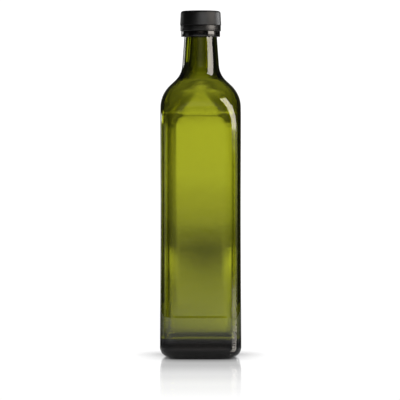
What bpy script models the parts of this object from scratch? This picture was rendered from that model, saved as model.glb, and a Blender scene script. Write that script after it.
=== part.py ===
"""A square one-litre bottle of olive-green glass for oil, shut with a black plastic screw cap.

Standalone Blender 4.5 script, in metres with +Z up. The origin is on the table, under the middle
of the base. The glass is one shell that is open at its mouth. A cap, its tear-off band and a
collar sit over the mouth, one above the other.
"""

from math import atan, atan2, cos, pi, radians, sin, sqrt, tan

import bmesh
import bpy
from mathutils import Matrix, Vector

# Driving dimensions of the glass, in millimetres

TOTAL_HEIGHT = 315.9       # with the cap on
FOOT_HALF = 36.95          # from the axis to a face, low on the body
SHOULDER_HALF = 36.6       # the same just under the shoulder
WAIST = 0.35               # how far the faces draw in halfway up
BODY_CORNER = 14.0         # radius of the body's four upright edges
HEEL_RADIUS = 10.0
SHOULDER_CORNER_Z = 240.1  # where the upright side would meet the sloping shoulder
SHOULDER_RADIUS = 27.6
NECK_CORNER_HALF = 17.4    # where the sloping shoulder would meet the neck
NECK_CORNER_Z = 258.0
NECK_RADIUS = 20.3
FINISH_RADIUS = 14.9       # the straight top of the neck, which the cap covers
FINISH_BOTTOM_Z = 292.5
EDGE_START_Z = 212.2       # where the four upright edges start to bend over into the shoulder

WALL = 3.0
NECK_WALL = 5.2
INNER_LIFT = 1.6           # how far the sloping shoulder is thinned from inside, straight up
BASE_THICKNESS = 15.4
INNER_HEEL_RADIUS = 3.5
FLOOR_RISE = 0.4           # how much higher the inner floor is in its middle
INNER_CORNER = 11.5
LIP_ROUND = 1.2

PANEL_BOTTOM_Z = 39.2      # the sunk label field on each face
PANEL_TOP_Z = 219.5
PANEL_HALF = 21.6
PANEL_DEPTH = 0.12         # at its foot
PANEL_TOP_DEPTH = 0.015
PANEL_SLOPE = 1.8          # height of the soft step above and below the field

FOOT_RING_INNER = 21.0     # inside this circle the underside is domed
PUNT_HEIGHT = 3.0

# Driving dimensions of the closure, in millimetres

GAP = 0.2                  # clearance between neighbouring pieces
CAP_TOP_RADIUS = 18.15
CAP_FOOT_RADIUS = 18.85
CAP_HEIGHT = 13.2
CAP_EDGE_ROUND = 2.2
CAP_TOP_THICKNESS = 1.7
BAND_RADIUS = 18.5
BAND_HEIGHT = 4.9
COLLAR_RADIUS = 17.8
COLLAR_HEIGHT = 5.1
RING_EDGE_ROUND = 0.4

# Levels and radii that follow from them

LIP_Z = TOTAL_HEIGHT - CAP_TOP_THICKNESS - GAP
CAP_BOTTOM_Z = TOTAL_HEIGHT - CAP_HEIGHT
BAND_TOP_Z = CAP_BOTTOM_Z - GAP
COLLAR_TOP_Z = BAND_TOP_Z - BAND_HEIGHT - GAP
SLEEVE_RADIUS = FINISH_RADIUS + GAP
SHOULDER_SLOPE = (SHOULDER_HALF - NECK_CORNER_HALF) / (NECK_CORNER_Z - SHOULDER_CORNER_Z)
LEAN = atan(SHOULDER_SLOPE)
OUTER_NECK_CORNER = (NECK_CORNER_HALF, NECK_CORNER_Z)
INNER_NECK_CORNER = (NECK_CORNER_HALF - NECK_WALL, NECK_CORNER_Z + INNER_LIFT)

# Fineness of the faceted surfaces

FACE_DEGREES = (0.0, 11.0, 22.0)         # from the middle of a face
CORNER_STEPS = 4                         # from the end of a flat to the middle of a corner
HEEL_STEPS = 5
WAIST_STEPS = 4
SHOULDER_STEPS = 8
NECK_STEPS = 6
EDGE_STEPS = 2
TURN_STEPS = 48

MM = 0.001
COLLECTION = "square_oil_bottle"


def mix(start, end, share):
    """The value that lies a given share of the way from start to end."""
    return start + (end - start) * share


def fillet(before, corner, after, radius, steps):
    """Points of the arc that rounds the corner between two straight stretches of a profile."""
    corner = Vector(corner)
    back = (Vector(before) - corner).normalized()
    onward = (Vector(after) - corner).normalized()
    half_angle = back.angle(onward) / 2
    centre = corner + (back + onward).normalized() * radius / sin(half_angle)
    start = corner + back * radius / tan(half_angle) - centre
    end = corner + onward * radius / tan(half_angle) - centre
    first = atan2(start.y, start.x)
    sweep = (atan2(end.y, end.x) - first + pi) % (2 * pi) - pi
    angles = [first + sweep * step / steps for step in range(steps + 1)]
    return [(centre.x + radius * cos(a), centre.y + radius * sin(a)) for a in angles]


def body_half(z):
    """Half the width across the flats, at a height on the upright part of the body."""
    share = z / SHOULDER_CORNER_Z
    return mix(FOOT_HALF, SHOULDER_HALF, share) - WAIST * sin(pi * share) ** 2


def panel_depth(z):
    """How far the label field lies under the face at a height."""
    return mix(PANEL_DEPTH, PANEL_TOP_DEPTH, (z - PANEL_BOTTOM_Z) / (PANEL_TOP_Z - PANEL_BOTTOM_Z))


def outside_profile():
    """The outer surface from foot to lip, as (half width, height, depth of the label field)."""
    shoulder = (SHOULDER_HALF, SHOULDER_CORNER_Z)
    neck = OUTER_NECK_CORNER
    finish = (FINISH_RADIUS, FINISH_BOTTOM_Z)
    heel = fillet((0, 0), (FOOT_HALF, 0), (FOOT_HALF, LIP_Z), HEEL_RADIUS, HEEL_STEPS)
    field = [mix(PANEL_BOTTOM_Z, PANEL_TOP_Z, step / WAIST_STEPS) for step in range(WAIST_STEPS + 1)]
    field.insert(WAIST_STEPS, EDGE_START_Z)
    points = [(half, z, 0.0) for half, z in heel]
    points.append((body_half(PANEL_BOTTOM_Z - PANEL_SLOPE), PANEL_BOTTOM_Z - PANEL_SLOPE, 0.0))
    points += [(body_half(z), z, panel_depth(z)) for z in field]
    points.append((body_half(PANEL_TOP_Z + PANEL_SLOPE), PANEL_TOP_Z + PANEL_SLOPE, 0.0))
    round_parts = fillet((SHOULDER_HALF, 0), shoulder, neck, SHOULDER_RADIUS, SHOULDER_STEPS)
    round_parts += fillet(shoulder, neck, finish, NECK_RADIUS, NECK_STEPS)
    round_parts.append(finish)
    round_parts += fillet(finish, (FINISH_RADIUS, LIP_Z), (0, LIP_Z), LIP_ROUND, EDGE_STEPS)
    return points + [(half, z, 0.0) for half, z in round_parts]


def inside_profile():
    """The inner surface from lip to floor, as (half width, height)."""
    bore = FINISH_RADIUS - NECK_WALL
    mouth = (bore, LIP_Z)
    finish = (bore, FINISH_BOTTOM_Z)
    neck = INNER_NECK_CORNER
    half = SHOULDER_HALF - WALL
    shoulder = (half, neck[1] - (half - neck[0]) / SHOULDER_SLOPE)
    bend = SHOULDER_RADIUS + (shoulder[1] - SHOULDER_CORNER_Z) / tan(LEAN / 2)
    floor_corner = (half, BASE_THICKNESS)
    points = fillet((FINISH_RADIUS, LIP_Z), mouth, finish, LIP_ROUND, EDGE_STEPS)
    points.append(finish)
    points += fillet(finish, neck, shoulder, NECK_RADIUS + NECK_WALL, NECK_STEPS)
    points += fillet(neck, shoulder, floor_corner, bend, SHOULDER_STEPS)
    points.append((half, EDGE_START_Z))
    points += fillet(shoulder, floor_corner, (0, BASE_THICKNESS), INNER_HEEL_RADIUS, HEEL_STEPS)
    return points


def diagonal_reach(z, upright, neck):
    """How far a level reaches along its diagonal: upright, then in an arc, then down the slope."""
    meet_z = neck[1] - (upright - neck[0]) / SHOULDER_SLOPE
    radius = (meet_z - EDGE_START_Z) / tan(LEAN / 2)
    rise = z - EDGE_START_Z
    if rise > radius * sin(LEAN):
        return neck[0] + (neck[1] - z) * SHOULDER_SLOPE
    return upright - radius + sqrt(radius ** 2 - rise ** 2)


def corner_radius(half, z, wall, corner, neck):
    """Corner radius of a section: the body's, then more and more until the section is round."""
    if z <= EDGE_START_Z:
        return min(half, corner)
    upright = (SHOULDER_HALF - wall - corner) * sqrt(2) + corner
    reach = diagonal_reach(z, upright, neck)
    return min(half, (half * sqrt(2) - reach) / (sqrt(2) - 1))


def section_radius(angle, half, corner):
    """Distance from the axis to a rounded square, at an angle from the middle of a face."""
    centre = half - corner
    if tan(angle) * half <= centre:
        return half / cos(angle)
    inside = corner ** 2 - centre ** 2 * (1 - sin(2 * angle))
    return centre * (cos(angle) + sin(angle)) + sqrt(inside)


def face_angles():
    """Angles of a level's points across one face, up to the middle of the next corner."""
    flat_end = SHOULDER_HALF - BODY_CORNER
    side = [radians(a) for a in FACE_DEGREES]
    side.append(atan(PANEL_HALF / SHOULDER_HALF))
    for step in range(CORNER_STEPS + 1):
        turn = radians(45) * step / CORNER_STEPS
        side.append(atan2(flat_end + BODY_CORNER * sin(turn), flat_end + BODY_CORNER * cos(turn)))
    return [-a for a in reversed(side[1:-1])] + side


def add_level(bm, half, z, corner, sink=0.0):
    """One level of the loft: a rounded square whose four label fields may be sunk."""
    field_end = atan(PANEL_HALF / SHOULDER_HALF) * 1.001
    level = []
    for face in range(4):
        turn = Matrix.Rotation(face * pi / 2, 3, "Z")
        for angle in face_angles():
            radius = section_radius(abs(angle), half, corner)
            outward = radius * cos(angle) - (sink if abs(angle) < field_end else 0.0)
            level.append(bm.verts.new(turn @ Vector((outward, radius * sin(angle), z)) * MM))
    return level


def join_levels(bm, lower, upper):
    """Quads between two neighbouring levels."""
    count = len(lower)
    for k in range(count):
        n = (k + 1) % count
        bm.faces.new((lower[k], lower[n], upper[n], upper[k]))


def glass_levels(bm):
    """All levels in order: domed underside, outer surface, lip, inner surface, floor."""
    levels = []
    for share in (0.3, 0.7, 1.0):
        radius = FOOT_RING_INNER * share
        levels.append(add_level(bm, radius, PUNT_HEIGHT * (1 - share ** 2), radius))
    for half, z, sink in outside_profile():
        corner = corner_radius(half, z, 0.0, BODY_CORNER, OUTER_NECK_CORNER)
        levels.append(add_level(bm, half, z, corner, sink))
    for half, z in inside_profile():
        corner = corner_radius(half, z, WALL, INNER_CORNER, INNER_NECK_CORNER)
        levels.append(add_level(bm, half, z, corner))
    for share in (0.8, 0.5, 0.2):
        z = BASE_THICKNESS + FLOOR_RISE * (1 - share ** 2)
        levels.append(add_level(bm, half * share, z, corner * share))
    return levels


def plastic(name, colour, roughness):
    """A plain opaque plastic."""
    material = bpy.data.materials.new(name)
    material.use_nodes = True
    shader = material.node_tree.nodes["Principled BSDF"]
    shader.inputs["Base Color"].default_value = (*colour, 1.0)
    shader.inputs["Roughness"].default_value = roughness
    shader.inputs["Metallic"].default_value = 0.0
    return material


def green_glass():
    """Clear olive-green bottle glass."""
    material = plastic("green_glass", (0.20, 0.24, 0.03), 0.03)
    shader = material.node_tree.nodes["Principled BSDF"]
    shader.inputs["Transmission Weight"].default_value = 1.0
    shader.inputs["IOR"].default_value = 1.52
    return material


def add_object(name, mesh, material, collection):
    """Put a mesh in the scene as one named piece."""
    piece = bpy.data.objects.new(name, mesh)
    collection.objects.link(piece)
    mesh.materials.append(material)
    return piece


def glass_bottle(collection):
    """The hollow bottle: square body, sloping shoulder, round neck, thick domed base."""
    bm = bmesh.new()
    levels = glass_levels(bm)
    for lower, upper in zip(levels, levels[1:]):
        join_levels(bm, lower, upper)
    bm.faces.new(levels[0])
    bm.faces.new(levels[-1])
    bmesh.ops.recalc_face_normals(bm, faces=bm.faces)
    mesh = bpy.data.meshes.new("glass_bottle")
    bm.to_mesh(mesh)
    bm.free()
    mesh.shade_smooth()
    mesh.set_sharp_from_angle(angle=radians(40))
    return add_object("glass_bottle", mesh, green_glass(), collection)


def turned_piece(name, profile, closed, material, collection):
    """A piece turned about Z from a profile in millimetres that runs down its outer side."""
    points = [(radius * MM, 0.0, z * MM) for radius, z in profile]
    edges = [(k, k + 1) for k in range(len(points) - 1)]
    if closed:
        edges.append((len(points) - 1, 0))
    mesh = bpy.data.meshes.new(name)
    mesh.from_pydata(points, edges, [])
    piece = add_object(name, mesh, material, collection)
    screw = piece.modifiers.new("turn", "SCREW")
    screw.axis = "Z"
    screw.angle = 2 * pi
    screw.steps = TURN_STEPS
    screw.render_steps = TURN_STEPS
    screw.use_merge_vertices = True
    screw.merge_threshold = 0.00001
    screw.use_smooth_shade = True
    return piece


def ring_profile(radius, top_z, height):
    """A plain sleeve whose two outer edges are rounded."""
    bottom_z = top_z - height
    points = [(SLEEVE_RADIUS, top_z)]
    points += fillet((0, top_z), (radius, top_z), (radius, bottom_z), RING_EDGE_ROUND, EDGE_STEPS)
    points += fillet((radius, top_z), (radius, bottom_z), (0, bottom_z), RING_EDGE_ROUND, EDGE_STEPS)
    points.append((SLEEVE_RADIUS, bottom_z))
    return points


def screw_cap(material, collection):
    """The upper cap: a cup that widens a little downwards, its top edge rounded."""
    top_corner = (CAP_TOP_RADIUS, TOTAL_HEIGHT)
    foot_corner = (CAP_FOOT_RADIUS, CAP_BOTTOM_Z)
    ceiling_z = TOTAL_HEIGHT - CAP_TOP_THICKNESS
    points = [(0, TOTAL_HEIGHT)]
    points += fillet((0, TOTAL_HEIGHT), top_corner, foot_corner, CAP_EDGE_ROUND, EDGE_STEPS * 2)
    points += fillet(top_corner, foot_corner, (0, CAP_BOTTOM_Z), RING_EDGE_ROUND, EDGE_STEPS)
    points += [(SLEEVE_RADIUS, CAP_BOTTOM_Z), (SLEEVE_RADIUS, ceiling_z), (0, ceiling_z)]
    return turned_piece("screw_cap", points, False, material, collection)


def tear_band(material, collection):
    """The narrow band under the cap, which stays on the neck when the cap is first opened."""
    profile = ring_profile(BAND_RADIUS, BAND_TOP_Z, BAND_HEIGHT)
    return turned_piece("tear_band", profile, True, material, collection)


def neck_collar(material, collection):
    """The glossier collar under the band, a little narrower than it."""
    profile = ring_profile(COLLAR_RADIUS, COLLAR_TOP_Z, COLLAR_HEIGHT)
    return turned_piece("neck_collar", profile, True, material, collection)


def main():
    for old in list(bpy.data.objects):
        bpy.data.objects.remove(old, do_unlink=True)
    collection = bpy.data.collections.new(COLLECTION)
    bpy.context.scene.collection.children.link(collection)
    satin_black = plastic("satin_black_plastic", (0.012, 0.012, 0.012), 0.38)
    gloss_black = plastic("gloss_black_plastic", (0.010, 0.010, 0.010), 0.12)
    glass_bottle(collection)
    screw_cap(satin_black, collection)
    tear_band(satin_black, collection)
    neck_collar(gloss_black, collection)


main()
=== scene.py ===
"""The looks of a square one-litre bottle of olive-green glass with a black screw closure."""

from math import atan, atan2, cos, pi, radians, sin, sqrt, tan

import bmesh
import bpy
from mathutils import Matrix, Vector


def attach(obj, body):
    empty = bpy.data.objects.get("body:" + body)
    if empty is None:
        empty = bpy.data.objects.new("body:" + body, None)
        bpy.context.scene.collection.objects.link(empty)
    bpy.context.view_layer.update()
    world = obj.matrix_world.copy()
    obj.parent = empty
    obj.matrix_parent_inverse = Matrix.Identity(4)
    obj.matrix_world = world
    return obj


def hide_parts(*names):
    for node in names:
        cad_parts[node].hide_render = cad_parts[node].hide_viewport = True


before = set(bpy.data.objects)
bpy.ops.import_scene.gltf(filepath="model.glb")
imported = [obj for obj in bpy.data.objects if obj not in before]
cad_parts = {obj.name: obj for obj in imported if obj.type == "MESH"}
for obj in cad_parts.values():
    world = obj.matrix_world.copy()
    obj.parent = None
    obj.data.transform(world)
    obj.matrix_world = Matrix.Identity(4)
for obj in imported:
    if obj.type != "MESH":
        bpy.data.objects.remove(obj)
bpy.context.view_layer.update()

MM = 0.001

# The glass, in millimetres: the same driving sizes as the solids

TOTAL_HEIGHT = 315.9
FOOT_HALF = 36.95          # from the axis to a face, low on the body
SHOULDER_HALF = 36.6       # the same just under the shoulder
WAIST = 0.35               # how far the faces draw in halfway up
BODY_CORNER = 14.0         # radius of the four upright edges
HEEL_RADIUS = 10.0
SHOULDER_CORNER_Z = 240.1  # where the upright side would meet the sloping shoulder
SHOULDER_RADIUS = 27.6
NECK_CORNER_HALF = 17.4    # where the sloping shoulder would meet the neck
NECK_CORNER_Z = 258.0
NECK_RADIUS = 20.3
FINISH_RADIUS = 14.9       # the straight top of the neck, under the cap
FINISH_BOTTOM_Z = 292.5
EDGE_START_Z = 212.2       # where the four upright edges start to bend over into the shoulder

WALL = 3.0
NECK_WALL = 5.2
INNER_LIFT = 1.6           # how far the sloping shoulder is thinned from inside, straight up
BASE_THICKNESS = 15.4
INNER_HEEL_RADIUS = 3.5
FLOOR_RISE = 0.4           # how much higher the inner floor is in its middle
INNER_CORNER = 11.5
LIP_ROUND = 1.2

PANEL_BOTTOM_Z = 39.2      # the sunk label field on each face
PANEL_TOP_Z = 219.5
PANEL_HALF = 21.6
PANEL_DEPTH = 0.12         # at its foot
PANEL_TOP_DEPTH = 0.015
PANEL_SLOPE = 1.8          # width of the soft step round the field

FOOT_RING_INNER = 21.0     # inside this circle the underside is domed
PUNT_HEIGHT = 3.0

# The closure, in millimetres

GAP = 0.2
CAP_TOP_RADIUS = 18.15
CAP_FOOT_RADIUS = 18.85
CAP_HEIGHT = 13.2
CAP_EDGE_ROUND = 2.2
CAP_TOP_THICKNESS = 1.7
BAND_RADIUS = 18.5
BAND_HEIGHT = 4.9
COLLAR_RADIUS = 17.8
COLLAR_HEIGHT = 5.1
RING_EDGE_ROUND = 0.4

LIP_Z = TOTAL_HEIGHT - CAP_TOP_THICKNESS - GAP
CAP_BOTTOM_Z = TOTAL_HEIGHT - CAP_HEIGHT
BAND_TOP_Z = CAP_BOTTOM_Z - GAP
COLLAR_TOP_Z = BAND_TOP_Z - BAND_HEIGHT - GAP
SLEEVE_RADIUS = FINISH_RADIUS + GAP
SHOULDER_SLOPE = (SHOULDER_HALF - NECK_CORNER_HALF) / (NECK_CORNER_Z - SHOULDER_CORNER_Z)
LEAN = atan(SHOULDER_SLOPE)
OUTER_NECK_CORNER = (NECK_CORNER_HALF, NECK_CORNER_Z)
INNER_NECK_CORNER = (NECK_CORNER_HALF - NECK_WALL, NECK_CORNER_Z + INNER_LIFT)

# Fineness of the meshes

FLAT_STEPS = 12            # from the middle of a face to the end of its flat
CORNER_STEPS = 12          # from there to the middle of the corner
ARC_STEPS = 14             # in each large arc of the bottle's profile
BODY_STEPS = 40            # up the straight part of the body
NECK_STEPS = 8             # from the foot of the neck's straight top to its arc
LIP_STEPS = 4
PANEL_EDGE_STEPS = 8       # in the soft step at the label field's top and foot
PUNT_STEPS = 10            # from the middle of the underside to its foot ring
FLOOR_STEPS = 9            # from the middle of the inner floor to its heel
CAP_EDGE_STEPS = 8
RING_EDGE_STEPS = 5
TURN_STEPS = 128           # round each piece of the closure
CREASE_ANGLE = 50          # a sharper bend than this, in degrees, isn't shaded smooth
MERGE_DISTANCE = 1e-6      # in metres


def mix(start, end, share):
    """The value that lies a given share of the way from start to end."""
    return start + (end - start) * share


def between(start, end, steps):
    """Points that divide the straight line between two others into equal steps."""
    shares = [step / steps for step in range(1, steps)]
    return [(mix(start[0], end[0], share), mix(start[1], end[1], share)) for share in shares]


def ease(share):
    """A share from 0 to 1, softened at both ends."""
    share = min(max(share, 0.0), 1.0)
    return share * share * (3 - 2 * share)


def fillet(before, corner, after, radius, steps=ARC_STEPS):
    """Points of the arc that rounds the corner between two straight stretches of a profile."""
    corner = Vector(corner)
    back = (Vector(before) - corner).normalized()
    onward = (Vector(after) - corner).normalized()
    half_angle = back.angle(onward) / 2
    centre = corner + (back + onward).normalized() * radius / sin(half_angle)
    start = corner + back * radius / tan(half_angle) - centre
    end = corner + onward * radius / tan(half_angle) - centre
    first = atan2(start.y, start.x)
    sweep = (atan2(end.y, end.x) - first + pi) % (2 * pi) - pi
    angles = [first + sweep * step / steps for step in range(steps + 1)]
    return [(centre.x + radius * cos(a), centre.y + radius * sin(a)) for a in angles]


# The form of the glass


def body_half(z):
    """Half the width across the flats, at a height on the upright part of the body."""
    share = z / SHOULDER_CORNER_Z
    return mix(FOOT_HALF, SHOULDER_HALF, share) - WAIST * sin(pi * share) ** 2


def panel_depth(z):
    """How far the label field lies under the face at a height."""
    rise = (z - PANEL_BOTTOM_Z + PANEL_SLOPE) / PANEL_SLOPE
    fall = (PANEL_TOP_Z + PANEL_SLOPE - z) / PANEL_SLOPE
    depth = mix(PANEL_DEPTH, PANEL_TOP_DEPTH, (z - PANEL_BOTTOM_Z) / (PANEL_TOP_Z - PANEL_BOTTOM_Z))
    return depth * ease(rise) * ease(fall)


def outside_profile():
    """The outer surface from foot to lip, as (half width, height)."""
    shoulder = (SHOULDER_HALF, SHOULDER_CORNER_Z)
    neck = OUTER_NECK_CORNER
    finish = (FINISH_RADIUS, FINISH_BOTTOM_Z)
    points = fillet((0, 0), (FOOT_HALF, 0), (FOOT_HALF, LIP_Z), HEEL_RADIUS)
    shoulder_arc = fillet((SHOULDER_HALF, 0), shoulder, neck, SHOULDER_RADIUS)
    first, last = points[-1][1], shoulder_arc[0][1]
    levels = {mix(first, last, step / BODY_STEPS) for step in range(1, BODY_STEPS)}
    for edge in (PANEL_BOTTOM_Z - PANEL_SLOPE, PANEL_TOP_Z):
        near_edge = range(-2, PANEL_EDGE_STEPS + 3)
        levels |= {edge + PANEL_SLOPE * step / PANEL_EDGE_STEPS for step in near_edge}
    points += [(body_half(z), z) for z in sorted(levels)]
    points += shoulder_arc
    neck_arc = fillet(shoulder, neck, finish, NECK_RADIUS)
    points += neck_arc
    points += [*between(neck_arc[-1], finish, NECK_STEPS), finish]
    points += fillet(finish, (FINISH_RADIUS, LIP_Z), (0, LIP_Z), LIP_ROUND, LIP_STEPS)
    return points


def inside_profile():
    """The inner surface from lip to floor, as (half width, height)."""
    bore = FINISH_RADIUS - NECK_WALL
    mouth = (bore, LIP_Z)
    finish = (bore, FINISH_BOTTOM_Z)
    neck = INNER_NECK_CORNER
    half = SHOULDER_HALF - WALL
    shoulder = (half, neck[1] - (half - neck[0]) / SHOULDER_SLOPE)
    bend = SHOULDER_RADIUS + (shoulder[1] - SHOULDER_CORNER_Z) / tan(LEAN / 2)
    floor_corner = (half, BASE_THICKNESS)
    points = fillet((FINISH_RADIUS, LIP_Z), mouth, finish, LIP_ROUND, LIP_STEPS)
    neck_arc = fillet(finish, neck, shoulder, NECK_RADIUS + NECK_WALL)
    points += [finish, *between(finish, neck_arc[0], NECK_STEPS)]
    points += neck_arc
    points += fillet(neck, shoulder, floor_corner, bend)
    heel = fillet(shoulder, floor_corner, (0, BASE_THICKNESS), INNER_HEEL_RADIUS)
    return [*points, *between(points[-1], heel[0], BODY_STEPS), *heel]


def diagonal_reach(z, upright, neck):
    """How far a level reaches along its diagonal: upright, then in an arc, then down the slope."""
    meet_z = neck[1] - (upright - neck[0]) / SHOULDER_SLOPE
    radius = (meet_z - EDGE_START_Z) / tan(LEAN / 2)
    rise = z - EDGE_START_Z
    if rise > radius * sin(LEAN):
        return neck[0] + (neck[1] - z) * SHOULDER_SLOPE
    return upright - radius + sqrt(radius ** 2 - rise ** 2)


def corner_radius(half, z, wall, corner, neck):
    """Corner radius of a section: the body's, then more and more until the section is round."""
    if z <= EDGE_START_Z:
        return min(half, corner)
    upright = (SHOULDER_HALF - wall - corner) * sqrt(2) + corner
    reach = diagonal_reach(z, upright, neck)
    return min(half, (half * sqrt(2) - reach) / (sqrt(2) - 1))


def section_radius(angle, half, corner):
    """Distance from the axis to a rounded square, at an angle from the middle of a face."""
    centre = half - corner
    if tan(angle) * half <= centre:
        return half / cos(angle)
    inside = corner ** 2 - centre ** 2 * (1 - sin(2 * angle))
    return centre * (cos(angle) + sin(angle)) + sqrt(inside)


def section_angles():
    """Angles of a level's points round the whole section."""
    flat_end = SHOULDER_HALF - BODY_CORNER
    side = [atan2(flat_end * step / FLAT_STEPS, SHOULDER_HALF) for step in range(FLAT_STEPS)]
    for step in range(CORNER_STEPS + 1):
        turn = radians(45) * step / CORNER_STEPS
        side.append(atan2(flat_end + BODY_CORNER * sin(turn), flat_end + BODY_CORNER * cos(turn)))
    face = [-a for a in reversed(side[1:-1])] + side
    return [turn * pi / 2 + a for turn in range(4) for a in face]


def shape_level(verts, half, z, corner, sink=0.0):
    """Lay a level's points on a rounded square, each at the angle that it already has."""
    for vert in verts:
        angle = atan2(vert.co.y, vert.co.x)
        from_face = abs((angle + pi / 4) % (pi / 2) - pi / 4)
        radius = section_radius(from_face, half, corner)
        along = radius * sin(from_face)
        radius -= sink * ease((PANEL_HALF + PANEL_SLOPE - along) / PANEL_SLOPE) / cos(from_face)
        vert.co = Vector((radius * cos(angle), radius * sin(angle), z)) * MM


def next_level(bm, edges):
    """Extrude a level's edges, and give the new level's points and edges."""
    made = bmesh.ops.extrude_edge_only(bm, edges=edges)["geom"]
    verts = [g for g in made if isinstance(g, bmesh.types.BMVert)]
    known = set(verts)
    edges = [g for g in made if isinstance(g, bmesh.types.BMEdge) and known.issuperset(g.verts)]
    return verts, edges


def glass_levels():
    """Every level of the glass: underside, outer surface, lip, inner surface, inner floor.

    Each is (half width, height, corner radius, depth of the label field).
    """
    levels = []
    for step in range(1, PUNT_STEPS + 1):
        share = step / PUNT_STEPS
        radius = FOOT_RING_INNER * share
        levels.append((radius, PUNT_HEIGHT * (1 - share ** 2), radius, 0.0))
    for half, z in outside_profile():
        corner = corner_radius(half, z, 0.0, BODY_CORNER, OUTER_NECK_CORNER)
        levels.append((half, z, corner, panel_depth(z)))
    for half, z in inside_profile():
        corner = corner_radius(half, z, WALL, INNER_CORNER, INNER_NECK_CORNER)
        levels.append((half, z, corner, 0.0))
    floor_half, floor_z, floor_corner, _ = levels[-1]
    for step in range(FLOOR_STEPS - 1, 0, -1):
        share = step / FLOOR_STEPS
        corner = mix(floor_half, floor_corner, share) * share
        levels.append((floor_half * share, floor_z + FLOOR_RISE * (1 - share ** 2), corner, 0.0))
    return levels


def bottle_glass():
    """The whole bottle as one shell, drawn out level by level from the middle of its underside."""
    bm = bmesh.new()
    angles = section_angles()
    verts = bmesh.ops.create_circle(bm, segments=len(angles), radius=1.0)["verts"]
    for vert, angle in zip(verts, angles):
        vert.co = (cos(angle), sin(angle), 0.0)
    edges = list(bm.edges)
    levels = glass_levels()
    shape_level(verts, *levels[0])
    pole = bmesh.ops.create_vert(bm, co=(0, 0, PUNT_HEIGHT * MM))["vert"][0]
    close_round(bm, edges, pole)
    for level in levels[1:]:
        verts, edges = next_level(bm, edges)
        shape_level(verts, *level)
    pole = bmesh.ops.create_vert(bm, co=(0, 0, (BASE_THICKNESS + FLOOR_RISE) * MM))["vert"][0]
    close_round(bm, edges, pole)
    bmesh.ops.recalc_face_normals(bm, faces=bm.faces)
    return finish_mesh(bm, "bottle_glass")


def close_round(bm, edges, pole):
    """Close a round opening with triangles to a point in its middle."""
    for edge in edges:
        bmesh.ops.contextual_create(bm, geom=[*edge.verts, pole])


def finish_mesh(bm, name):
    """Make a smooth-shaded object of a bmesh."""
    mesh = bpy.data.meshes.new(name)
    bm.to_mesh(mesh)
    bm.free()
    mesh.shade_smooth()
    piece = bpy.data.objects.new(name, mesh)
    bpy.context.scene.collection.objects.link(piece)
    return piece


# The closure


def turned(name, profile, closed):
    """A piece spun about Z from a profile of (radius, height) points in millimetres."""
    bm = bmesh.new()
    verts = [bm.verts.new((radius * MM, 0.0, z * MM)) for radius, z in profile]
    edges = [bm.edges.new(pair) for pair in zip(verts, verts[1:])]
    if closed:
        edges.append(bm.edges.new((verts[-1], verts[0])))
    bmesh.ops.spin(
        bm,
        geom=verts + edges,
        cent=(0, 0, 0),
        axis=(0, 0, 1),
        angle=2 * pi,
        steps=TURN_STEPS,
        use_merge=True,
    )
    bmesh.ops.remove_doubles(bm, verts=bm.verts, dist=MERGE_DISTANCE)
    bmesh.ops.recalc_face_normals(bm, faces=bm.faces)
    piece = finish_mesh(bm, name)
    piece.data.set_sharp_from_angle(angle=radians(CREASE_ANGLE))
    return piece


def ring_profile(radius, top_z, height):
    """A plain sleeve whose two outer edges are rounded."""
    bottom_z = top_z - height
    top_corner = (radius, top_z)
    foot_corner = (radius, bottom_z)
    points = [(SLEEVE_RADIUS, top_z)]
    points += fillet((0, top_z), top_corner, foot_corner, RING_EDGE_ROUND, RING_EDGE_STEPS)
    points += fillet(top_corner, foot_corner, (0, bottom_z), RING_EDGE_ROUND, RING_EDGE_STEPS)
    points.append((SLEEVE_RADIUS, bottom_z))
    return points


def cap_top():
    """The upper cap: a cup that widens a little downwards, its top edge rounded."""
    top_corner = (CAP_TOP_RADIUS, TOTAL_HEIGHT)
    foot_corner = (CAP_FOOT_RADIUS, CAP_BOTTOM_Z)
    ceiling_z = TOTAL_HEIGHT - CAP_TOP_THICKNESS
    points = [(0, TOTAL_HEIGHT)]
    points += fillet((0, TOTAL_HEIGHT), top_corner, foot_corner, CAP_EDGE_ROUND, CAP_EDGE_STEPS)
    points += fillet(top_corner, foot_corner, (0, CAP_BOTTOM_Z), RING_EDGE_ROUND, RING_EDGE_STEPS)
    points += [(SLEEVE_RADIUS, CAP_BOTTOM_Z), (SLEEVE_RADIUS, ceiling_z), (0, ceiling_z)]
    return turned("cap_top", points, False)


# Materials

WHITE = (1.0, 1.0, 1.0, 1.0)
GLASS_IOR = 1.52
GLASS_TINT = "#dfe14f"     # one wall is pale olive, two are olive, and the thick base is nearly black
GLASS_STRENGTH = 762.7
RIPPLES_PER_METRE = 90.0   # the faint waves of blown glass, about 11 mm long
RIPPLE_STRENGTH = 0.04
RIPPLE_DEPTH_MM = 0.5

CLOSURE_BLACK = "#080808"
PLASTIC_IOR = 1.49
GRAIN_STRENGTH = 0.5
PATCHES_PER_METRE = 120.0  # duller and glossier patches, about 8 mm wide

# The floor's own values. A table holds its two limits, and then its stops as (value, level).

FLOOR_POLISH = (-0.4, 0.1, (   # share of what it mirrors, by depth in metres
    (-0.37, 0), (-0.25, 0.12), (-0.17, 0.24), (-0.07, 0.5), (-0.03, 0.52), (-0.02, 0.5), (0.03, 0),
))
FLOOR_BLUR = 0.1
FLOOR_LEVEL = 1.03
# a painted contact shadow: the board's glow is dimmed where the place lies less open
FLOOR_SHADOW = (0, 1, (        # light left, by how open the place lies
    (0, 0), (0.35, 0.45), (0.55, 0.6), (0.8, 0.8), (1, 1),
))
SHADOW_REACH = 0.028
SHADOW_SAMPLES = 8

# Painted light and shade on the floor, as the glass sees it: by direction from the bottle, where
# straight behind is 0 degrees, the right-hand side is +90 and the camera is at 180, and by distance,
# both for skimming rays alone

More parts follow.
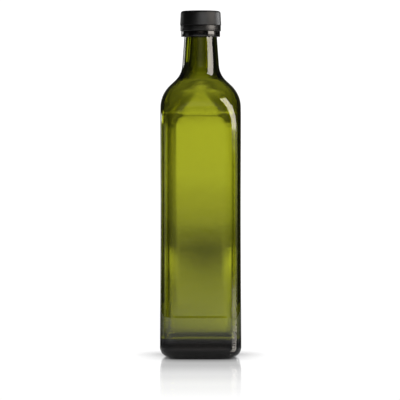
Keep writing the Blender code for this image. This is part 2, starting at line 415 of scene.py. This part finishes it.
FLOOR_PAINTED_SHADE_ROUND = (-180, 180, (
    (-180, 0.92), (-160, 1), (-135, 1.3), (-110, 1.2), (-85, 0.6), (-60, 0.2), (-22, 0.15),
    (-14, 0.25), (-10, 0.45), (-5, 0.45), (-1, 0.56), (1, 0.57), (3, 0.65), (8, 0.8), (12, 0.57),
    (16, 0.48), (22, 0.2), (60, 0.2), (85, 0.6), (110, 1.2), (135, 1.3), (160, 1), (180, 0.92),
))
FLOOR_PAINTED_SHADE_AWAY = (0.0, 0.5, (
    (0.036, 1.05), (0.05, 0.9), (0.08, 0.5), (0.165, 0.28), (0.22, 0.5), (0.3, 0.85), (0.36, 1),
))
SKIMMING = (0.72, 0.88)        # the share of skimming where the steep rays end and the others begin

# and a painted shadow of the bottle on the strip straight behind it, as wide as it is, for all rays

SHADOW_STRIP_ACROSS = (-0.1, 0.1, ((-0.05, 1), (-0.036, 0), (0.036, 0), (0.05, 1)))
SHADOW_STRIP_BEHIND = (-0.1, 0.3, ((0.0, 1), (0.03, 0.08), (0.12, 0.1), (0.2, 1)))


def linear(hex_colour):
    """An sRGB hex colour as a linear RGBA colour."""
    parts = [int(hex_colour[k:k + 2], 16) / 255 for k in (1, 3, 5)]
    return (*[p / 12.92 if p <= 0.04045 else ((p + 0.055) / 1.055) ** 2.4 for p in parts], 1.0)


def add_node(tree, kind, settings=None, inputs=None):
    """Add a node with its settings. Each input is a plain value or another node's output."""
    node = tree.nodes.new(kind)
    for key, value in (settings or {}).items():
        setattr(node, key, value)
    for key, value in (inputs or {}).items():
        if isinstance(value, bpy.types.NodeSocket):
            tree.links.new(value, node.inputs[key])
        else:
            node.inputs[key].default_value = value
    return node


def new_material(name):
    """An empty material with its output node."""
    material = bpy.data.materials.new(name)
    material.use_nodes = True
    tree = material.node_tree
    tree.nodes.clear()
    return material, tree, tree.nodes.new("ShaderNodeOutputMaterial")


def ramp_of(tree, value, low, high, stops):
    """A grey level that follows a value between two limits, given as (value, level) stops."""
    share = add_node(
        tree, "ShaderNodeMapRange", inputs={"Value": value, "From Min": low, "From Max": high}
    )
    ramp = add_node(tree, "ShaderNodeValToRGB", inputs={"Fac": share.outputs["Result"]})
    ramp.color_ramp.interpolation = "EASE"
    elements = ramp.color_ramp.elements
    while len(elements) < len(stops):
        elements.new(0.5)
    for element, (at, level) in zip(elements, stops):
        element.position = (at - low) / (high - low)
        element.color = (level, level, level, 1.0)
    return ramp.outputs["Color"]


def maths(tree, operation, first, second=0.0):
    """One step of arithmetic on values or outputs."""
    node = add_node(tree, "ShaderNodeMath", {"operation": operation}, {0: first, 1: second})
    return node.outputs["Value"]


def olive_bottle_glass():
    """Pressed and blown soda-lime glass, olive green right through: the colour deepens with depth."""
    material, tree, output = new_material("olive_bottle_glass")
    place = add_node(tree, "ShaderNodeTexCoord")
    ripple = add_node(
        tree,
        "ShaderNodeTexNoise",
        inputs={"Vector": place.outputs["Object"], "Scale": RIPPLES_PER_METRE, "Detail": 2.0},
    )
    bump = add_node(
        tree,
        "ShaderNodeBump",
        inputs={
            "Height": ripple.outputs["Fac"],
            "Strength": RIPPLE_STRENGTH,
            "Distance": RIPPLE_DEPTH_MM * MM,
        },
    )
    shader = add_node(
        tree,
        "ShaderNodeBsdfPrincipled",
        inputs={
            "Base Color": WHITE,
            "Roughness": 0.0,
            "IOR": GLASS_IOR,
            "Transmission Weight": 1.0,
            "Normal": bump.outputs["Normal"],
        },
    )
    depth = add_node(
        tree,
        "ShaderNodeVolumeAbsorption",
        inputs={"Color": linear(GLASS_TINT), "Density": GLASS_STRENGTH},
    )
    tree.links.new(shader.outputs["BSDF"], output.inputs["Surface"])
    tree.links.new(depth.outputs["Volume"], output.inputs["Volume"])
    return material


def moulded_plastic(name, roughness, gloss, spread, grain_mm, grain_depth_mm):
    """Injection-moulded polypropylene, black through and through, with the mould's fine grain.

    The real grain is too fine to show, so it is drawn wider.
    """
    material, tree, output = new_material(name)
    place = add_node(tree, "ShaderNodeTexCoord")
    grain = add_node(
        tree,
        "ShaderNodeTexNoise",
        inputs={"Vector": place.outputs["Object"], "Scale": 1 / (grain_mm * MM), "Detail": 3.0},
    )
    patches = add_node(
        tree,
        "ShaderNodeTexNoise",
        inputs={"Vector": place.outputs["Object"], "Scale": PATCHES_PER_METRE, "Detail": 2.0},
    )
    dullness = add_node(
        tree,
        "ShaderNodeMapRange",
        inputs={
            "Value": patches.outputs["Fac"],
            "From Min": 0.3,
            "From Max": 0.7,
            "To Min": roughness - spread,
            "To Max": roughness + spread,
        },
    )
    bump = add_node(
        tree,
        "ShaderNodeBump",
        inputs={
            "Height": grain.outputs["Fac"],
            "Strength": GRAIN_STRENGTH,
            "Distance": grain_depth_mm * MM,
        },
    )
    shader = add_node(
        tree,
        "ShaderNodeBsdfPrincipled",
        inputs={
            "Base Color": linear(CLOSURE_BLACK),
            "Roughness": dullness.outputs["Result"],
            "IOR": PLASTIC_IOR,
            "Specular IOR Level": gloss,
            "Normal": bump.outputs["Normal"],
        },
    )
    tree.links.new(shader.outputs["BSDF"], output.inputs["Surface"])
    return material


def glowing_acrylic_with_painted_shade():
    """White acrylic that glows so that it stays white, with a painted shadow where something stands
    close to it.

    Its polish mirrors what stands on it. The glass sees a painted shadow on the strip behind the
    bottle, and at a skimming angle painted shade, dimmer to both sides and further off; this is no
    reflection.
    """
    material, tree, output = new_material("glowing_acrylic_with_painted_shade")
    place = add_node(tree, "ShaderNodeTexCoord")
    part = add_node(tree, "ShaderNodeSeparateXYZ", inputs={"Vector": place.outputs["Object"]})
    x, y = part.outputs["X"], part.outputs["Y"]
    turn = maths(tree, "MULTIPLY", maths(tree, "ARCTAN2", x, y), 180 / pi)
    away = add_node(
        tree, "ShaderNodeVectorMath", {"operation": "LENGTH"}, {"Vector": place.outputs["Object"]}
    )
    # painted shade that the glass sees on the floor at a skimming angle, by direction and distance
    # from the bottle
    painted_skimming_shade = maths(
        tree,
        "MULTIPLY",
        ramp_of(tree, turn, *FLOOR_PAINTED_SHADE_ROUND),
        ramp_of(tree, away.outputs["Value"], *FLOOR_PAINTED_SHADE_AWAY),
    )
    skimming = add_node(tree, "ShaderNodeLayerWeight", inputs={"Blend": 0.5})
    steep = add_node(
        tree,
        "ShaderNodeMapRange",
        inputs={
            "Value": skimming.outputs["Facing"],
            "From Min": SKIMMING[0],
            "From Max": SKIMMING[1],
            "To Min": 1,
            "To Max": 0,
        },
    )
    seen = add_node(
        tree, "ShaderNodeMix", inputs={"Factor": steep.outputs["Result"], "A": painted_skimming_shade, "B": 1.0}
    )
    # a painted shadow of the bottle on the strip behind it; camera rays still see the board white
    strip = maths(
        tree, "MAXIMUM", ramp_of(tree, x, *SHADOW_STRIP_ACROSS), ramp_of(tree, y, *SHADOW_STRIP_BEHIND)
    )
    dimmed = maths(tree, "MULTIPLY", seen.outputs["Result"], strip)
    path = add_node(tree, "ShaderNodeLightPath")
    level = add_node(
        tree,
        "ShaderNodeMix",
        inputs={"Factor": path.outputs["Is Camera Ray"], "A": dimmed, "B": 1.0},
    )
    # a painted contact shadow from how open each place lies; it dims the board's glow
    close = add_node(
        tree,
        "ShaderNodeAmbientOcclusion",
        {"samples": SHADOW_SAMPLES},
        {"Distance": SHADOW_REACH},
    )
    open_share = ramp_of(tree, close.outputs["AO"], *FLOOR_SHADOW)
    light = maths(tree, "MULTIPLY", open_share, FLOOR_LEVEL)
    board = add_node(
        tree,
        "ShaderNodeEmission",
        inputs={
            "Color": WHITE,
            "Strength": maths(tree, "MULTIPLY", light, level.outputs["Result"]),
        },
    )
    mirror = add_node(
        tree, "ShaderNodeBsdfGlossy", inputs={"Color": WHITE, "Roughness": FLOOR_BLUR}
    )
    both = add_node(
        tree,
        "ShaderNodeMixShader",
        inputs={
            0: ramp_of(tree, y, *FLOOR_POLISH),
            1: board.outputs["Emission"],
            2: mirror.outputs["BSDF"],
        },
    )
    tree.links.new(both.outputs["Shader"], output.inputs["Surface"])
    return material


def clear_film():
    """A clear film on the floor. It only marks the light that the floor mirrors."""
    material, tree, output = new_material("clear_film")
    shader = tree.nodes.new("ShaderNodeBsdfTransparent")
    tree.links.new(shader.outputs["BSDF"], output.inputs["Surface"])
    return material


# Put the pieces together

matt_black = moulded_plastic(
    "matt_black_polypropylene",
    roughness=0.42,
    gloss=0.2,
    spread=0.04,
    grain_mm=0.25,
    grain_depth_mm=0.012,
)
satin_black = moulded_plastic(
    "satin_black_polypropylene",
    roughness=0.34,
    gloss=0.5,
    spread=0.04,
    grain_mm=0.25,
    grain_depth_mm=0.012,
)
gloss_black = moulded_plastic(
    "gloss_black_polypropylene",
    roughness=0.12,
    gloss=0.6,
    spread=0.03,
    grain_mm=0.6,
    grain_depth_mm=0.003,
)

PIECES = (
    (bottle_glass(), "glass_bottle", "green_glass", olive_bottle_glass()),
    (cap_top(), "screw_cap", "satin_black_plastic", matt_black),
    (turned("tear_ring", ring_profile(BAND_RADIUS, BAND_TOP_Z, BAND_HEIGHT), True),
     "tear_band", "satin_black_plastic", satin_black),
    (turned("collar_ring", ring_profile(COLLAR_RADIUS, COLLAR_TOP_Z, COLLAR_HEIGHT), True),
     "neck_collar", "gloss_black_plastic", gloss_black),
)
for piece, node, slot, material in PIECES:
    piece.data.materials.append(material)
    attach(piece, "root")
    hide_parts(node)

# The studio: a white floor, soft lights and the camera

FLOOR_RADIUS = 0.6
FLOOR_SIDES = 96
FLOOR_DROP = 0.0003        # the board lies this far under its film, and the film under the bottle
CAMERA_ASIDE = -0.0006
CAMERA_DISTANCE = 2.19
CAMERA_HEIGHT = 0.211
CAMERA_AIM_HEIGHT = 0.143
CAMERA_LENS = 215.0
CAMERA_REACH = 50
CAP_LIGHT_DISTANCE = 0.8
CAP_LIGHTS = (             # name, degrees from the camera to the right, height, size, power
    ("cap_front", 14, 0.38, (0.75, 0.4), 5.0),
    ("cap_side", 118, 0.38, (0.4, 0.4), 3.4),
)

# Soft panels far off: strength, colour, and stops of (degrees, share of the light) across and up.
# Straight behind is 0 across, the right-hand side is +90, and the camera is at 180.

PANELS = (
    # the glow behind the bottle
    (1.36, "#ffffff",
     ((-19, 0), (-17, 0.28), (-8, 0.3), (-5, 0.42), (-3, 0.75), (-1, 1), (5, 1), (16, 0.65), (19, 0)),
     ((-4.6, 0.42), (-3.6, 0.42), (-3.2, 0.25), (-2.7, 0.36), (-2.3, 0.54), (-1.8, 0.68),
      (-0.8, 0.94), (-0.2, 0.6), (0.35, 0))),
    # its upper part, narrower
    (1.36, "#ffffff",
     ((-17, 0), (-14, 0.1), (-8, 0.14), (-4, 0.28), (-2.5, 0.5), (-1, 1), (3, 1), (8, 0.8),
      (16, 0.55), (19, 0)),
     ((-0.8, 0), (-0.2, 0.4), (0.16, 0.8), (0.3, 0.82), (0.45, 0.7), (0.65, 0.58), (0.9, 0.26),
      (1.2, 0.06), (1.5, 0))),
    # and what is left of it higher up
    (1.36, "#ffffff",
     ((-19, 0), (-17, 0.35), (-8, 0.5), (-3, 0.75), (-1, 1), (3, 1), (8, 0.8), (16, 0.6), (19, 0)),
     ((0.3, 0), (0.65, 0.08), (0.9, 0.15), (1.2, 0.19), (1.7, 0.16), (2.1, 0.2), (3, 0.27), (6, 0.28),
      (9.5, 0.3), (14, 0.05))),
    # where it meets the table, brighter on both sides
    (1.0, "#ffffff", ((-14, 0), (-10, 1), (-4, 0.5), (-1, 0.05), (1, 0.05), (3, 0.3), (8, 1), (12, 0)),
     ((-4.4, 0.3), (-3.6, 1), (-3.4, 0.8), (-3.1, 0))),
    # a bright strip behind, on the left
    (1.5, "#ffffff", ((-42, 0), (-38, 1), (-30, 1), (-27, 0)),
     ((-6, 0), (-3, 0.5), (0, 1), (3, 1), (6, 0))),
    # and one more for the neck
    (3.5, "#ffffff", ((-54, 0), (-51, 1), (-43, 1), (-39, 0)), ((1.8, 0), (2.6, 1), (6, 1), (10, 0))),
    # the main light on the right, and its image in the far part of the table
    (9.0, "#fff6ec", ((92, 0), (96, 1), (132, 1), (135, 0)),
     ((-1.2, 0), (1.5, 1), (48, 1), (52, 0))),
    (2.5, "#fff6ec", ((92, 0), (96, 1), (132, 1), (135, 0)), ((-4.2, 1), (-3.4, 1), (-2.8, 0))),
    # a faint warm one behind the camera
    (0.35, "#ffeedd", ((-180, 1), (-150, 0), (150, 0), (180, 1)),
     ((2, 0), (6, 1), (12, 1), (30, 0))),
    # a low glow behind the camera, brighter towards the table
    (0.95, "#ffffff", ((-180, 1), (-150, 0.8), (-120, 0), (120, 0), (150, 0.8), (180, 1)),
     ((-4.6, 1), (-4, 0.85), (-3.6, 0.63), (-3.1, 0.4), (-2.7, 0.25), (-1.8, 0.03), (-1, 0))),
    # a little at either side, low down, for the looks from there
    (0.35, "#ffffff", ((-110, 0), (-95, 1), (-85, 1), (-70, 0), (70, 0), (85, 1), (95, 1), (110, 0)),
     ((-6, 0.3), (-1, 1), (1, 0.8), (4, 0.1))),
)
ALL_ROUND = (-180, 180)      # the limits of the stops across, in degrees
LOW_TO_HIGH = (-10, 60)      # and of those up
SHADOW_SPOT = (0.15, -3.4, 0.65, 0.6, 0.5)  # across, up, width, height and depth of a dim spot
ROOM_LEVEL = 0.03
BACKDROP_LEVEL = 1.1


def floor():
    """A round pale table top and its film."""
    for name, z, material in (
        ("floor", -2 * FLOOR_DROP, glowing_acrylic_with_painted_shade()),
        ("floor_film", -FLOOR_DROP, clear_film()),
    ):
        bm = bmesh.new()
        bmesh.ops.create_circle(bm, cap_ends=True, segments=FLOOR_SIDES, radius=FLOOR_RADIUS)
        bmesh.ops.translate(bm, verts=bm.verts, vec=(0, 0, z))
        piece = finish_mesh(bm, name)
        piece.data.materials.append(material)
        piece.visible_shadow = name == "floor"


def cap_light(lit_pieces, name, across, height, size, power):
    """A soft light for the pieces of a collection alone, turned towards the cap."""
    light = bpy.data.lights.new(name, "AREA")
    light.shape = "RECTANGLE"
    light.size, light.size_y = size
    light.energy = power
    lamp = bpy.data.objects.new(name, light)
    bpy.context.scene.collection.objects.link(lamp)
    turn = radians(across)
    lamp.location = (CAP_LIGHT_DISTANCE * sin(turn), -CAP_LIGHT_DISTANCE * cos(turn), height)
    aim = Vector((0, 0, CAP_BOTTOM_Z * MM)) - lamp.location
    lamp.rotation_euler = aim.to_track_quat("-Z", "Y").to_euler()
    lamp.light_linking.receiver_collection = lit_pieces


def studio_world():
    """White for the camera and the floor's polish. The bottle sees a dark room with soft panels.

    A small dim spot, low behind the bottle, gives the dark patch in the lower part of the glass.
    """
    world = bpy.data.worlds.new("studio")
    world.use_nodes = True
    world.cycles.sampling_method = "NONE"
    bpy.context.scene.world = world
    tree = world.node_tree
    tree.nodes.clear()
    place = add_node(tree, "ShaderNodeTexCoord")
    part = add_node(tree, "ShaderNodeSeparateXYZ", inputs={"Vector": place.outputs["Generated"]})
    x, y, z = (part.outputs[axis] for axis in "XYZ")
    up = maths(tree, "MULTIPLY", maths(tree, "ARCSINE", z), 180 / pi)
    across = maths(tree, "MULTIPLY", maths(tree, "ARCTAN2", x, y), 180 / pi)
    side, rise, width, height, depth = SHADOW_SPOT
    aside = maths(tree, "DIVIDE", maths(tree, "SUBTRACT", across, side), width)
    apart = maths(tree, "DIVIDE", maths(tree, "SUBTRACT", up, rise), height)
    squares = [maths(tree, "POWER", offset, 2.0) for offset in (aside, apart)]
    spot = maths(tree, "EXPONENT", maths(tree, "MULTIPLY", maths(tree, "ADD", *squares), -1.0))
    clear = maths(tree, "SUBTRACT", 1.0, maths(tree, "MULTIPLY", spot, depth))
    room = add_node(tree, "ShaderNodeBackground", inputs={"Strength": ROOM_LEVEL})
    total = room.outputs["Background"]
    for strength, colour, sides, heights in PANELS:
        lit = maths(tree, "MULTIPLY", ramp_of(tree, across, *ALL_ROUND, sides), strength)
        lit = maths(tree, "MULTIPLY", ramp_of(tree, up, *LOW_TO_HIGH, heights), lit)
        lit = maths(tree, "MULTIPLY", clear, lit)
        panel = add_node(
            tree, "ShaderNodeBackground", inputs={"Color": linear(colour), "Strength": lit}
        )
        total = add_node(
            tree, "ShaderNodeAddShader", inputs={0: total, 1: panel.outputs["Background"]}
        ).outputs["Shader"]
    # a ray that the floor mirrored came through its film, and has bounced no more than twice
    path = add_node(tree, "ShaderNodeLightPath")
    first = maths(tree, "LESS_THAN", path.outputs["Ray Depth"], 2.5)
    filmed = maths(tree, "GREATER_THAN", path.outputs["Transparent Depth"], 0.5)
    mirrored = maths(tree, "MULTIPLY", first, filmed)
    mirrored = maths(tree, "MULTIPLY", mirrored, path.outputs["Is Glossy Ray"])
    plain = maths(tree, "MAXIMUM", mirrored, path.outputs["Is Camera Ray"])
    white = add_node(
        tree, "ShaderNodeBackground", inputs={"Color": WHITE, "Strength": BACKDROP_LEVEL}
    )
    both = add_node(
        tree, "ShaderNodeMixShader", inputs={0: plain, 1: total, 2: white.outputs["Background"]}
    )
    output = add_node(tree, "ShaderNodeOutputWorld")
    tree.links.new(both.outputs["Shader"], output.inputs["Surface"])


def camera():
    """A long lens, a little higher than the middle of the body and turned slightly down."""
    data = bpy.data.cameras.new("camera")
    data.lens = CAMERA_LENS
    data.clip_end = CAMERA_REACH
    eye = bpy.data.objects.new("camera", data)
    bpy.context.scene.collection.objects.link(eye)
    eye.location = (CAMERA_ASIDE, -CAMERA_DISTANCE, CAMERA_HEIGHT)
    target = Vector((CAMERA_ASIDE, 0, CAMERA_AIM_HEIGHT))
    eye.rotation_euler = (target - eye.location).to_track_quat("-Z", "Y").to_euler()
    bpy.context.scene.camera = eye


cap_only = bpy.data.collections.new("cap_only")
for piece, node, _, _ in PIECES:
    if node == "screw_cap":
        cap_only.objects.link(piece)
floor()
for cap_lamp in CAP_LIGHTS:
    cap_light(cap_only, *cap_lamp)
studio_world()
camera()
bpy.context.scene.view_settings.view_transform = "Standard"
